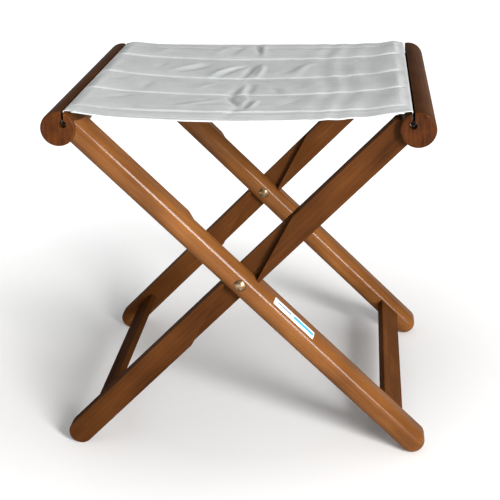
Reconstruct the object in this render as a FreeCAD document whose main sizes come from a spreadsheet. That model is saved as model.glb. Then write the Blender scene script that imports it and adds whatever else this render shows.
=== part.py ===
import FreeCAD, Part
import math
import os

import Sketcher
from FreeCAD import Placement, Rotation, Vector

# Folding stool with a canvas sling seat: two identical X-frames, turned half a turn from each
# other about Z, joined by a front and a rear pivot. Millimetres, +Z up, Y along the rails.
# The origin is on the floor, midway between the four feet.

doc = FreeCAD.newDocument("folding_stool")

DIMENSIONS = [
    # overall layout
    ("rail_half_spacing", 200.0),
    ("rail_length", 390.0),
    ("rail_height", 406.0),
    ("rail_radius", 20.0),
    ("rail_rim", 2.5),
    ("pivot_height", 219.0),
    ("leg_lean", 45.0),
    # legs
    ("leg_width", 30.0),
    ("leg_thickness", 30.0),
    ("leg_round", 13.0),
    ("leg_arris", 1.2),
    ("leg_setback", 3.5),
    ("leg_top_height", 414.5),
    ("lap_overlap", 21.0),
    ("lap_gap", 1.0),
    ("lap_play", 0.3),
    ("lap_closed_angle", 17.0),
    ("cut_margin", 2.0),
    # keyhole groove in each rail, measured from the rail's centre
    ("keyhole_inset", 6.0),
    ("keyhole_rise", 5.5),
    ("keyhole_radius", 4.5),
    ("slot_width", 3.4),
    # stretchers
    ("stretcher_along", 252.0),
    ("stretcher_width", 32.0),
    ("stretcher_thickness", 9.0),
    ("stretcher_offset", 1.0),
    ("stretcher_seat", 1.0),
    ("stretcher_ease", 1.0),
    ("seat_play", 0.1),
    # dowels
    ("rail_dowel_radius", 4.0),
    ("rail_dowel_length", 36.0),
    ("rail_dowel_start", -266.0),
    ("rail_dowel_offset", -6.0),
    ("stretcher_dowel_radius", 3.0),
    ("stretcher_dowel_length", 24.0),
    ("stretcher_dowel_spacing", 18.0),
    ("dowel_play", 0.05),
    ("dowel_chamfer", 0.8),
    ("bore_spare", 0.5),
    # pivots
    ("barrel_radius", 4.0),
    ("pivot_play", 0.06),
    ("head_radius", 6.5),
    ("head_rim", 1.2),
    ("dome_rise", 2.6),
    ("head_seat_radius", 7.4),
    ("head_seat_depth", 1.4),
    ("screw_radius", 2.5),
    ("screw_length", 20.0),
    ("sleeve_spare", 0.2),
    ("thread_floor", 2.0),
    ("driver_slot_width", 1.2),
    ("driver_slot_depth", 1.7),
    ("washer_radius", 11.0),
    ("washer_thickness", 0.8),
    ("washer_play", 0.3),
    # seat
    ("cloth_width", 382.0),
    ("cloth_thickness", 1.4),
    ("cloth_sag", 9.0),
    ("cloth_lift", 0.8),
    ("rod_radius", 2.9),
    ("rod_length", 366.0),
    ("pocket_radius", 4.2),
    ("pocket_play", 0.1),
    ("tail_gap", 0.3),
    # sticker on the front leg
    ("label_start", 42.0),
    ("label_length", 64.0),
    ("label_end_lean", 21.0),
    ("label_thickness", 0.3),
    ("label_gap", 0.05),
    ("label_low_angle", 2.0),
    ("label_high_angle", 46.0),
]

sheet = doc.addObject("Spreadsheet::Sheet", "dimensions")
for row, (alias, number) in enumerate(DIMENSIONS, start=1):
    sheet.set(f"A{row}", alias)
    sheet.set(f"B{row}", str(number))
    sheet.setAlias(f"B{row}", alias)
doc.recompute()


def size(alias):
    """The value of one driving dimension."""
    return float(sheet.get(alias))


def bound(expression):
    """An expression in which each driving dimension's name points at the sheet."""
    words = sorted((alias for alias, number in DIMENSIONS), key=len, reverse=True)
    for word in words:
        expression = expression.replace(word, f"<<dimensions>>.{word.upper()}")
    for word in words:
        expression = expression.replace(word.upper(), word)
    return expression


# ---------------------------------------------------------------- sketch and feature helpers

def new_body(label):
    body = doc.addObject("PartDesign::Body", label)
    body.Label = label
    return body


def new_sketch(body, name, role, lift=None):
    """A sketch on one of the body's own origin planes, raised along its normal by lift."""
    sketch = body.newObject("Sketcher::SketchObject", name)
    plane = next(item for item in body.Origin.OriginFeatures if item.Role == role)
    sketch.AttachmentSupport = [(plane, "")]
    sketch.MapMode = "FlatFace"
    if lift is not None:
        sketch.setExpression("AttachmentOffset.Base.z", bound(lift))
    return sketch


def pin_point(sketch, edge, end, across, up):
    """Hold one end of a sketch edge at bound coordinates."""
    here = sketch.getPoint(edge, end)
    for kind, expression, now in (("DistanceX", across, here.x), ("DistanceY", up, here.y)):
        index = sketch.addConstraint(Sketcher.Constraint(kind, -1, 1, edge, end, now))
        sketch.setExpression(f"Constraints[{index}]", bound(expression))


def polygon(sketch, corners, start):
    """Closed straight outline through bound corners; start holds rough places for them."""
    first, count = sketch.GeometryCount, len(corners)
    for index in range(count):
        here = Vector(*start[index], 0)
        there = Vector(*start[(index + 1) % count], 0)
        sketch.addGeometry(Part.LineSegment(here, there), False)
    for index, (across, up) in enumerate(corners):
        before = first + (index - 1) % count
        sketch.addConstraint(Sketcher.Constraint("Coincident", before, 2, first + index, 1))
        pin_point(sketch, first + index, 1, across, up)


def box_outline(sketch, left, right, low, high, start):
    """Upright rectangle between bound sides; start is its rough (left, right, low, high)."""
    x0, x1, y0, y1 = start
    polygon(sketch, [(left, low), (right, low), (right, high), (left, high)],
            [(x0, y0), (x1, y0), (x1, y1), (x0, y1)])


def circle(sketch, across, up, radius, start=(0, 0)):
    """A bound circle; start is its rough centre."""
    rough = size("head_radius")
    edge = sketch.addGeometry(Part.Circle(Vector(*start, 0), Vector(0, 0, 1), rough), False)
    index = sketch.addConstraint(Sketcher.Constraint("Radius", edge, rough))
    sketch.setExpression(f"Constraints[{index}]", bound(radius))
    pin_point(sketch, edge, 3, across, up)


def pad(body, sketch, name, length, midplane=False, backwards=False):
    feature = body.newObject("PartDesign::Pad", name)
    feature.Profile = sketch
    feature.setExpression("Length", bound(length))
    feature.Midplane = midplane
    feature.Reversed = backwards
    doc.recompute()


LEAST_CUT = 0.5     # cubic millimetres that a cut has to take away


def pocket(body, sketch, name, depth=None, along_normal=False):
    """Cut a sketch into the body, to a depth or right through both ways."""
    before = body.Shape.Volume
    feature = body.newObject("PartDesign::Pocket", name)
    feature.Profile = sketch
    if depth is None:
        feature.Type = "ThroughAll"
        feature.Midplane = True
    else:
        feature.setExpression("Length", bound(depth))
        feature.Reversed = along_normal
    doc.recompute()
    if body.Shape.Volume > before - LEAST_CUT:
        raise RuntimeError(f"{body.Label}: {name} cuts nothing")


def fillet(body, name, radius, chosen):
    """Round the edges of the body's tip that chosen() picks."""
    tip = body.Tip
    edges = tip.Shape.Edges
    names = [f"Edge{index}" for index, edge in enumerate(edges, start=1) if chosen(edge)]
    feature = body.newObject("PartDesign::Fillet", name)
    feature.Base = (tip, names)
    feature.setExpression("Radius", bound(radius))
    doc.recompute()


SAME = 1e-3         # lengths this close are equal


def at_level(edge, axis, level):
    """True where an edge lies wholly in the plane where axis (0, 1 or 2) equals level."""
    box = edge.BoundBox
    low = (box.XMin, box.YMin, box.ZMin)[axis]
    high = (box.XMax, box.YMax, box.ZMax)[axis]
    return abs(low - level) < SAME and abs(high - level) < SAME


# ---------------------------------------------------------------- placing on the two frames
# Legs, rails and stretchers are drawn in a leg's own directions: X down the leg, Y across its
# width towards the upper side, Z out of its flat face through its thickness.

LEAN = math.radians(size("leg_lean"))
HALF_TURN = Rotation(Vector(0, 0, 1), 180)
LEFT_FRAME = Rotation(
    Vector(math.sin(LEAN), 0, -math.cos(LEAN)),
    Vector(math.cos(LEAN), 0, math.sin(LEAN)),
    Vector(0, -1, 0),
    "ZXY",
)
PIVOT = Vector(0, 0, size("pivot_height"))

# Distances of the two kinds of leg's flat faces from the middle of the stool.
OUTER_FLAT = size("rail_length") / 2 - size("leg_setback") - size("leg_thickness")
INNER_FLAT = OUTER_FLAT + size("lap_overlap")
OUTER_REACH = "(rail_length / 2 - leg_setback - leg_thickness)"
INNER_REACH = f"({OUTER_REACH} + lap_overlap)"


def on_frame(piece, frame, point):
    """Place a piece whose spot on the left frame is point; the right frame is a half turn."""
    if frame == "left":
        piece.Placement = Placement(point, LEFT_FRAME)
    else:
        piece.Placement = Placement(HALF_TURN.multVec(point), HALF_TURN.multiply(LEFT_FRAME))


def flat_face_spot(position):
    """Pivot point in the flat face of a left-frame leg: outer at the front, inner at the back."""
    return PIVOT + Vector(0, -OUTER_FLAT if position == "outer" else INNER_FLAT, 0)


# The rail's centre and the foot as seen from the pivot, in leg directions.
RAIL_ALONG = ("(-rail_half_spacing * sin(leg_lean * 1deg)"
              " - (rail_height - pivot_height) * cos(leg_lean * 1deg))")
RAIL_ACROSS = ("(-rail_half_spacing * cos(leg_lean * 1deg)"
               " + (rail_height - pivot_height) * sin(leg_lean * 1deg))")
FOOT_ALONG = "((pivot_height - leg_width / 2) / cos(leg_lean * 1deg))"
RAIL_RISE = size("rail_height") - size("pivot_height")
RAIL_SPOT = (-size("rail_half_spacing") * math.sin(LEAN) - RAIL_RISE * math.cos(LEAN),
             -size("rail_half_spacing") * math.cos(LEAN) + RAIL_RISE * math.sin(LEAN))


# ---------------------------------------------------------------- legs

def leg_outline(body):
    """Straight leg with a half-round foot and a top cut level under the seat."""
    sketch = new_sketch(body, "outline", "XY_Plane")
    half = size("leg_width") / 2
    foot = (size("pivot_height") - half) / math.cos(LEAN)
    top = -(size("leg_top_height") - size("pivot_height")) / math.cos(LEAN)
    corners = [(foot, half), (top + half, half), (top, 0), (RAIL_SPOT[0] + half / 3, -half),
               (foot, -half)]
    for here, there in zip(corners, corners[1:]):
        sketch.addGeometry(Part.LineSegment(Vector(*here, 0), Vector(*there, 0)), False)
    arc = sketch.addGeometry(
        Part.ArcOfCircle(Part.Circle(Vector(foot, 0, 0), Vector(0, 0, 1), half),
                         -math.pi / 2, math.pi / 2), False)
    for edge in range(arc - 1):
        sketch.addConstraint(Sketcher.Constraint("Coincident", edge, 2, edge + 1, 1))
    sketch.addConstraint(Sketcher.Constraint("Coincident", arc - 1, 2, arc, 1))
    sketch.addConstraint(Sketcher.Constraint("Coincident", arc, 2, 0, 1))
    level_top = ("-((leg_top_height - pivot_height) - leg_width / 2 * sin(leg_lean * 1deg))"
                 " / cos(leg_lean * 1deg)")
    axis_top = "-(leg_top_height - pivot_height) / cos(leg_lean * 1deg)"
    pin_point(sketch, 0, 1, FOOT_ALONG, "leg_width / 2")
    pin_point(sketch, 1, 1, level_top, "leg_width / 2")
    pin_point(sketch, 2, 1, axis_top, "0")
    pin_point(sketch, 3, 1, RAIL_ALONG + " + rail_radius / 4", "-leg_width / 2")
    pin_point(sketch, 3, 2, FOOT_ALONG, "-leg_width / 2")
    index = sketch.addConstraint(Sketcher.Constraint("DistanceX", -1, 1, arc, 3, foot))
    sketch.setExpression(f"Constraints[{index}]", bound(FOOT_ALONG))
    return sketch


def cut_lap(body):
    """The fan that the crossing leg sweeps, from square across to nearly in line."""
    half = "(leg_width / 2 + lap_play)"
    closed = "lap_closed_angle * 1deg"
    edge = "(leg_width / 2 + cut_margin)"
    reach = f"(({half} + {edge} * cos({closed})) / sin({closed}))"
    elbow = f"(({half} - {half} * sin({closed})) / cos({closed}))"
    corners = [("-" + half, "-" + edge), (reach, "-" + edge), (half, elbow),
               (half, edge), ("-" + reach, edge), ("-" + half, "-" + elbow)]
    side, far = size("leg_width") / 2, size("leg_width") / math.sin(
        math.radians(size("lap_closed_angle")))
    start = [(-side, -side), (far, -side), (side, side / 2),
             (side, side), (-far, side), (-side, -side / 2)]
    sketch = new_sketch(body, "lap_outline", "XY_Plane")
    polygon(sketch, corners, start)
    pocket(body, sketch, "lap", "lap_overlap / 2 + lap_gap / 2", along_normal=True)


STRETCHER_SIDES = ("stretcher_along - stretcher_width / 2", "stretcher_along + stretcher_width / 2",
                   "stretcher_offset - stretcher_thickness / 2",
                   "stretcher_offset + stretcher_thickness / 2")


def stretcher_section(sketch, play="0"):
    """Outline of a stretcher board, or of its seat, which is larger by play all round."""
    middle, half = size("stretcher_along"), size("stretcher_width") / 2
    thick = size("stretcher_thickness") / 2
    sides = [f"{side} {sign} {play}" for side, sign in zip(STRETCHER_SIDES, "-+-+")]
    box_outline(sketch, *sides, (middle - half, middle + half, -thick, thick))


def stretcher_dowel_circles(sketch):
    for side, way in (("-", -1), ("+", 1)):
        rough = size("stretcher_along") + way * size("stretcher_dowel_spacing") / 2
        circle(sketch, f"stretcher_along {side} stretcher_dowel_spacing / 2", "stretcher_offset",
               "stretcher_dowel_radius + dowel_play", (rough, 0))


def cut_leg_bores(body, position):
    """Pivot bore and head seat, rail dowel bore, stretcher seat and dowel bores."""
    bore = new_sketch(body, "pivot_bore_outline", "XY_Plane")
    circle(bore, "0", "0", "barrel_radius + pivot_play")
    pocket(body, bore, "pivot_bore")
    seat = new_sketch(body, "head_seat_outline", "XY_Plane", "leg_thickness")
    circle(seat, "0", "0", "head_seat_radius")
    pocket(body, seat, "head_seat", "head_seat_depth")
    end = new_sketch(body, "rail_dowel_outline", "YZ_Plane", "rail_dowel_start")
    circle(end, "rail_dowel_offset", "leg_thickness / 2", "rail_dowel_radius + dowel_play",
           (size("rail_dowel_offset"), size("leg_thickness") / 2))
    pocket(body, end, "rail_dowel_bore", "rail_dowel_length + bore_spare", along_normal=True)
    inner = position == "inner"
    if inner:
        housing = new_sketch(body, "stretcher_seat_outline", "XY_Plane", "leg_thickness")
        stretcher_section(housing, "seat_play")
        pocket(body, housing, "stretcher_seat_cut", "stretcher_seat")
    face = "leg_thickness - stretcher_seat" if inner else "0"
    holes = new_sketch(body, "stretcher_dowel_outline", "XY_Plane", face)
    stretcher_dowel_circles(holes)
    pocket(body, holes, "stretcher_dowel_bores", "stretcher_dowel_length / 2 + bore_spare",
           along_normal=not inner)


def make_leg(label, frame, position):
    body = new_body(label)
    pad(body, leg_outline(body), "blank", "leg_thickness")

    def long_edge(edge, level):
        return at_level(edge, 2, level) and edge.BoundBox.XMax > 0

    fillet(body, "round_side", "leg_round",
           lambda edge: long_edge(edge, size("leg_thickness")))
    fillet(body, "arris", "leg_arris", lambda edge: long_edge(edge, 0.0))
    cut_lap(body)
    cope = new_sketch(body, "cope_outline", "XY_Plane")
    circle(cope, RAIL_ALONG, RAIL_ACROSS, "rail_radius", RAIL_SPOT)
    pocket(body, cope, "cope")
    cut_leg_bores(body, position)
    on_frame(body, frame, flat_face_spot(position))


# ---------------------------------------------------------------- rails

def leg_middles():
    """Middle of the outer and the inner leg's thickness along the left rail: number and bound."""
    half = size("leg_thickness") / 2
    return [(-OUTER_FLAT - half, f"(-{OUTER_REACH} - leg_thickness / 2)"),
            (INNER_FLAT - half, f"({INNER_REACH} - leg_thickness / 2)")]


KEYHOLE_ACROSS = "(keyhole_inset * sin(leg_lean * 1deg) - keyhole_rise * cos(leg_lean * 1deg))"
KEYHOLE_UP = "(keyhole_inset * cos(leg_lean * 1deg) + keyhole_rise * sin(leg_lean * 1deg))"


def make_rail(label, frame):
    """Round rail with rounded rims, a keyhole groove along it and two dowel bores."""
    body = new_body(label)
    section = new_sketch(body, "section", "XY_Plane")
    circle(section, "0", "0", "rail_radius")
    pad(body, section, "blank", "rail_length", midplane=True)
    half_length = size("rail_length") / 2
    fillet(body, "rims", "rail_rim",
           lambda edge: at_level(edge, 2, half_length) or at_level(edge, 2, -half_length))
    bore = new_sketch(body, "groove_bore_outline", "XY_Plane")
    circle(bore, KEYHOLE_ACROSS, KEYHOLE_UP, "keyhole_radius", (0, size("keyhole_inset")))
    pocket(body, bore, "groove_bore")
    slot = new_sketch(body, "slot_outline", "XY_Plane")
    mouth, reach = "(rail_radius + cut_margin)", size("rail_radius") * math.sin(LEAN)
    corners, rough = [], []
    for side, out, way, far in (("-", "0", -1, 0), ("+", "0", 1, 0),
                                ("+", mouth, 1, reach), ("-", mouth, -1, reach)):
        shift = f"{side} slot_width / 2"
        corners.append(
            (f"{KEYHOLE_ACROSS} {shift} * sin(leg_lean * 1deg) - {out} * cos(leg_lean * 1deg)",
             f"{KEYHOLE_UP} {shift} * cos(leg_lean * 1deg) + {out} * sin(leg_lean * 1deg)"))
        rough.append((way - far, way + size("keyhole_inset") + far))
    polygon(slot, corners, rough)
    pocket(body, slot, "slot")
    for index, (middle, bound_middle) in enumerate(leg_middles(), start=1):
        hole = new_sketch(body, f"dowel_outline_{index}", "YZ_Plane",
                          f"rail_dowel_start - bore_spare - {RAIL_ALONG}")
        circle(hole, f"rail_dowel_offset - {RAIL_ACROSS}", f"-{bound_middle}",
               "rail_dowel_radius + dowel_play", (0, -middle))
        pocket(body, hole, f"dowel_bore_{index}", "2 * rail_radius", along_normal=True)
    on_frame(body, frame, Vector(-size("rail_half_spacing"), 0, size("rail_height")))


# ---------------------------------------------------------------- stretchers

def make_stretcher(label, frame):
    """Board from the outer leg's flat face to the inner leg's seat, with dowel bores."""
    body = new_body(label)
    length = f"({OUTER_REACH} + {INNER_REACH} - leg_thickness + stretcher_seat)"
    section = new_sketch(body, "section", "XY_Plane")
    stretcher_section(section)
    pad(body, section, "board", length, backwards=True)
    board_length = OUTER_FLAT + INNER_FLAT - size("leg_thickness") + size("stretcher_seat")
    fillet(body, "eased_edges", "stretcher_ease",
           lambda edge: abs(edge.BoundBox.ZLength - board_length) < SAME)
    for name, lift, inward in (("outer", "0", False), ("inner", f"-{length}", True)):
        holes = new_sketch(body, f"{name}_dowel_outline", "XY_Plane", lift)
        stretcher_dowel_circles(holes)
        pocket(body, holes, f"{name}_dowel_bores", "stretcher_dowel_length / 2 + bore_spare",
               along_normal=inward)
    on_frame(body, frame, flat_face_spot("outer"))


# ---------------------------------------------------------------- dowels

def make_dowels(label, frame, radius, length, spots):
    """One node of chamfered dowels; spots are (base, direction) in leg directions."""
    dowels = []
    for index, (base, direction) in enumerate(spots, start=1):
        pin = doc.addObject("Part::Cylinder", f"{label}_pin_{index}")
        pin.setExpression("Radius", bound(radius))
        pin.setExpression("Height", bound(length))
        pin.Placement = Placement(base, Rotation(Vector(0, 0, 1), direction))
        doc.recompute()
        dowel = doc.addObject("Part::Chamfer", f"{label}_dowel_{index}")
        dowel.Base = pin
        ease = size("dowel_chamfer")
        dowel.Edges = [(number, ease, ease)
                       for number, edge in enumerate(pin.Shape.Edges, start=1) if edge.Closed]
        dowels.append(dowel)
    group = doc.addObject("Part::Compound", label)
    group.Label = label
    group.Links = dowels
    doc.recompute()
    on_frame(group, frame, PIVOT)


def make_rail_dowels(label, frame):
    spots = [(Vector(size("rail_dowel_start"), size("rail_dowel_offset"), -middle),
              Vector(1, 0, 0)) for middle, bound_middle in leg_middles()]
    make_dowels(label, frame, "rail_dowel_radius", "rail_dowel_length", spots)


def make_stretcher_dowels(label, frame):
    length = size("stretcher_dowel_length")
    outer_joint = OUTER_FLAT
    inner_joint = -INNER_FLAT + size("leg_thickness") - size("stretcher_seat")
    spots = []
    for joint in (outer_joint, inner_joint):
        for side in (-0.5, 0.5):
            along = size("stretcher_along") + side * size("stretcher_dowel_spacing")
            spots.append((Vector(along, size("stretcher_offset"), joint - length / 2),
                          Vector(0, 0, 1)))
    make_dowels(label, frame, "stretcher_dowel_radius", "stretcher_dowel_length", spots)


# ---------------------------------------------------------------- pivots
# Turned parts are drawn in the XZ plane and revolved about Z, with the head towards +Z.
# Z is zero at the head's underside.

def dome_profile(body, stem, reach, depth):
    """Half section of a domed head on a stem; the stem's end is bound to reach, now depth."""
    sketch = new_sketch(body, "profile", "XZ_Plane")
    head, rim, dome = size("head_radius"), size("head_rim"), size("dome_rise")
    wide = size(stem)
    points = [(0, rim + dome), (0, -depth), (wide, -depth), (wide, 0), (head, 0), (head, rim)]
    for here, there in zip(points, points[1:]):
        sketch.addGeometry(Part.LineSegment(Vector(*here, 0), Vector(*there, 0)), False)
    ball = (head * head + dome * dome) / (2 * dome)
    centre = Vector(0, rim + dome - ball, 0)
    start = math.atan2(rim - centre.y, head)
    arc = sketch.addGeometry(
        Part.ArcOfCircle(Part.Circle(centre, Vector(0, 0, 1), ball), start, math.pi / 2), False)
    last = arc - 1
    for edge in range(last):
        sketch.addConstraint(Sketcher.Constraint("Coincident", edge, 2, edge + 1, 1))
    sketch.addConstraint(Sketcher.Constraint("Coincident", last, 2, arc, 1))
    sketch.addConstraint(Sketcher.Constraint("Coincident", arc, 2, 0, 1))
    corners = [("0", "head_rim + dome_rise"), ("0", f"-{reach}"), (stem, f"-{reach}"),
               (stem, "0"), ("head_radius", "0")]
    for edge, (across, up) in enumerate(corners):
        pin_point(sketch, edge, 1, across, up)
    pin_point(sketch, last, 2, "head_radius", "head_rim")
    index = sketch.addConstraint(Sketcher.Constraint("Radius", arc, ball))
    sketch.setExpression(
        f"Constraints[{index}]",
        bound("(head_radius * head_radius + dome_rise * dome_rise) / (2 * dome_rise)"))
    return sketch


def turned(body, sketch, name):
    feature = body.newObject("PartDesign::Revolution", name)
    feature.Profile = sketch
    feature.ReferenceAxis = (sketch, ["V_Axis"])
    feature.Angle = 360.0
    doc.recompute()


def make_pivot_sleeve(label, spot):
    """Domed head on a hollow barrel that runs through both legs."""
    body = new_body(label)
    reach = "(2 * leg_thickness - lap_overlap - 2 * head_seat_depth - sleeve_spare)"
    depth = (2 * size("leg_thickness") - size("lap_overlap") - 2 * size("head_seat_depth")
             - size("sleeve_spare"))
    turned(body, dome_profile(body, "barrel_radius", reach, depth), "turned")
    hollow = new_sketch(body, "thread_outline", "XY_Plane", f"-{reach}")
    circle(hollow, "0", "0", "screw_radius + dowel_play")
    pocket(body, hollow, "thread_bore", f"{reach} - thread_floor", along_normal=True)
    body.Placement = Placement(spot, Rotation(Vector(0, 0, 1), Vector(0, -1, 0)))


def make_pivot_screw(label, spot):
    """Domed, slotted head on a stem that screws into the sleeve from behind."""
    body = new_body(label)
    profile = dome_profile(body, "screw_radius", "screw_length", size("screw_length"))
    turned(body, profile, "turned")
    slot = new_sketch(body, "slot_outline", "XY_Plane", "head_rim + dome_rise")
    wide, half = "(head_radius + cut_margin)", "driver_slot_width / 2"
    reach = size("head_radius")
    box_outline(slot, f"-{wide}", wide, f"-{half}", half, (-reach, reach, -1, 1))
    pocket(body, slot, "slot", "driver_slot_depth")
    body.Placement = Placement(spot, Rotation(Vector(0, 0, 1), Vector(0, 1, 0)))


def make_spacer_washer(label, spot):
    """Flat washer between the floors of the two laps."""
    body = new_body(label)
    sketch = new_sketch(body, "ring_outline", "XY_Plane")
    circle(sketch, "0", "0", "washer_radius")
    circle(sketch, "0", "0", "barrel_radius + washer_play")
    pad(body, sketch, "ring", "washer_thickness", midplane=True)
    body.Placement = Placement(spot, Rotation(Vector(0, 0, 1), Vector(0, -1, 0)))


def make_pivots():
    outer_crest = OUTER_FLAT + size("leg_thickness")
    inner_crest = INNER_FLAT - size("leg_thickness")
    sunk = size("head_seat_depth")
    places = {
        "front": (-outer_crest + sunk, -inner_crest - sunk, -(OUTER_FLAT + INNER_FLAT) / 2),
        "rear": (inner_crest + sunk, outer_crest - sunk, (OUTER_FLAT + INNER_FLAT) / 2),
    }
    for name, (front, back, middle) in places.items():
        make_pivot_sleeve(f"{name}_pivot_sleeve", PIVOT + Vector(0, front, 0))
        make_pivot_screw(f"{name}_pivot_screw", PIVOT + Vector(0, back, 0))
        make_spacer_washer(f"{name}_spacer_washer", PIVOT + Vector(0, middle, 0))


# ---------------------------------------------------------------- seat
# Seat pieces are drawn in the XZ plane, whose sketch normal points to -Y.

POCKET_ACROSS = "(rail_half_spacing - keyhole_inset)"
POCKET_UP = "(rail_height + keyhole_rise)"
EDGE_UP = "(rail_height + rail_radius + cloth_lift)"


def sling_arc(sketch, lift, bound_lift):
    """One sagging arc of the sling, raised by lift from its underside."""
    reach, sag = size("rail_half_spacing") - size("keyhole_inset"), size("cloth_sag")
    edge_up = size("rail_height") + size("rail_radius") + size("cloth_lift")
    radius = (reach * reach + sag * sag) / (2 * sag)
    centre = Vector(0, edge_up - sag + radius, 0)
    swing = math.asin(reach / radius)
    arc = sketch.addGeometry(
        Part.ArcOfCircle(Part.Circle(centre, Vector(0, 0, 1), radius - lift),
                         -math.pi / 2 - swing, -math.pi / 2 + swing), False)
    index = sketch.addConstraint(Sketcher.Constraint("Radius", arc, radius - lift))
    sketch.setExpression(f"Constraints[{index}]", bound(
        f"({POCKET_ACROSS} * {POCKET_ACROSS} + cloth_sag * cloth_sag) / (2 * cloth_sag)"
        f" - {bound_lift}"))
    return arc


def sling_outline(body):
    """Section of the sagging panel: two arcs about one centre, closed by upright ends."""
    sketch = new_sketch(body, "panel_outline", "XZ_Plane")
    low = sling_arc(sketch, 0.0, "0")
    high = sling_arc(sketch, size("cloth_thickness"), "cloth_thickness")
    sketch.addConstraint(Sketcher.Constraint("Coincident", low, 3, high, 3))
    ends = []
    for end in (1, 2):
        line = sketch.addGeometry(
            Part.LineSegment(sketch.getPoint(low, end), sketch.getPoint(high, end)), False)
        sketch.addConstraint(Sketcher.Constraint("Coincident", low, end, line, 1))
        sketch.addConstraint(Sketcher.Constraint("Coincident", high, end, line, 2))
        ends.append(line)
    for line, side in zip(ends, ("-", "")):
        pin_point(sketch, line, 1, side + POCKET_ACROSS, EDGE_UP)
        sketch.addConstraint(Sketcher.Constraint("Vertical", line))
    return sketch


def make_seat_cloth():
    """Sling: sagging panel, two tails down the slots and two closed rod pockets."""
    body = new_body("seat_cloth")
    pad(body, sling_outline(body), "panel", "cloth_width", midplane=True)
    reach = size("rail_half_spacing") - size("keyhole_inset")
    rod_up = size("rail_height") + size("keyhole_rise")
    edge_up, thin = size("rail_height") + size("rail_radius"), size("cloth_thickness") / 2
    for name, sign, way in (("left", "-", -1), ("right", "+", 1)):
        middle = f"{sign} {POCKET_ACROSS}"
        tail = new_sketch(body, f"{name}_tail_outline", "XZ_Plane")
        box_outline(tail, f"{middle} - cloth_thickness / 2", f"{middle} + cloth_thickness / 2",
                    f"{POCKET_UP} + rod_radius + tail_gap", f"{EDGE_UP} + cloth_thickness / 2",
                    (way * reach - thin, way * reach + thin, rod_up + size("rod_radius"),
                     edge_up))
        pad(body, tail, f"{name}_tail", "rod_length", midplane=True)
        ring = new_sketch(body, f"{name}_pocket_outline", "XZ_Plane")
        for radius in ("pocket_radius", "rod_radius + pocket_play"):
            circle(ring, middle, POCKET_UP, radius, (way * reach, rod_up))
        pad(body, ring, f"{name}_pocket", "rod_length", midplane=True)


def make_seat_rod(label, side):
    """Round rod that keeps the cloth's pocket in the keyhole groove."""
    body = new_body(label)
    section = new_sketch(body, "section", "XZ_Plane")
    circle(section, "0", "0", "rod_radius")
    pad(body, section, "rod", "rod_length", midplane=True)
    across = side * (size("rail_half_spacing") - size("keyhole_inset"))
    body.Placement = Placement(Vector(across, 0, size("rail_height") + size("keyhole_rise")),
                               Rotation())


# ---------------------------------------------------------------- sticker

def strip_section(body):
    """Section of the sticker: a thin arc round the leg's rounded shoulder."""
    sketch = new_sketch(body, "strip_outline", "YZ_Plane", "label_start")
    low, high = math.radians(size("label_low_angle")), math.radians(size("label_high_angle"))
    middle = Vector(size("leg_width") / 2 - size("leg_round"),
                    size("leg_thickness") - size("leg_round"), 0)
    inner = size("leg_round") + size("label_gap")
    arcs = []
    for radius, bound_radius in ((inner, "leg_round + label_gap"),
                                 (inner + size("label_thickness"),
                                  "leg_round + label_gap + label_thickness")):
        arc = sketch.addGeometry(
            Part.ArcOfCircle(Part.Circle(middle, Vector(0, 0, 1), radius), low, high), False)
        index = sketch.addConstraint(Sketcher.Constraint("Radius", arc, radius))
        sketch.setExpression(f"Constraints[{index}]", bound(bound_radius))
        arcs.append(arc)
    under, over = arcs
    for end, angle in ((1, "label_low_angle"), (2, "label_high_angle")):
        line = sketch.addGeometry(
            Part.LineSegment(sketch.getPoint(under, end), sketch.getPoint(over, end)), False)
        sketch.addConstraint(Sketcher.Constraint("Coincident", under, end, line, 1))
        sketch.addConstraint(Sketcher.Constraint("Coincident", over, end, line, 2))
        pin_point(sketch, under, end,
                  f"leg_width / 2 - leg_round + (leg_round + label_gap) * cos({angle} * 1deg)",
                  f"leg_thickness - leg_round + (leg_round + label_gap) * sin({angle} * 1deg)")
    sketch.addConstraint(Sketcher.Constraint("Coincident", under, 3, over, 3))
    return sketch


def make_label():
    """Thin strip bent over the rounded upper shoulder of the front leg, with slanted ends."""
    body = new_body("label_sticker")
    lean = "tan(label_end_lean * 1deg)"
    spare = f"leg_width / 2 * {lean}"
    pad(body, strip_section(body), "strip", f"label_length + {spare}")
    ends = new_sketch(body, "ends_outline", "XY_Plane")
    top, rough_top = "leg_width / 2 + cut_margin", size("leg_width") / 2
    rough_spare = rough_top * math.tan(math.radians(size("label_end_lean")))
    first, last = size("label_start"), size("label_start") + size("label_length")
    for place, outside, rough, rough_outside in (
            ("label_start", "label_start - cut_margin", first, first - rough_top),
            ("label_start + label_length", f"label_start + label_length + {spare} + cut_margin",
             last, last + rough_top)):
        polygon(ends, [(outside, "0"), (f"{place} + {spare}", "0"),
                       (f"{place} - cut_margin * {lean}", top), (outside, top)],
                [(rough_outside, 0), (rough + rough_spare, 0), (rough, rough_top),
                 (rough_outside, rough_top)])
    pocket(body, ends, "slanted_ends")
    on_frame(body, "left", flat_face_spot("outer"))


# ---------------------------------------------------------------- build, test and write

def build():
    for frame in ("left", "right"):
        outer, inner = ("front", "rear") if frame == "left" else ("rear", "front")
        make_leg(f"{frame}_frame_{outer}_leg", frame, "outer")
        make_leg(f"{frame}_frame_{inner}_leg", frame, "inner")
        make_rail(f"{frame}_rail", frame)
        make_stretcher(f"{frame}_frame_stretcher", frame)
        make_rail_dowels(f"{frame}_rail_dowels", frame)
        make_stretcher_dowels(f"{frame}_stretcher_dowels", frame)
    make_pivots()
    make_seat_cloth()
    make_seat_rod("left_seat_rod", -1)
    make_seat_rod("right_seat_rod", 1)
    make_label()
    doc.recompute()


def sub_parts():
    """Every finished piece: bodies and dowel groups."""
    kinds = ("PartDesign::Body", "Part::Compound")
    return [item for item in doc.Objects if item.TypeId in kinds]


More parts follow.
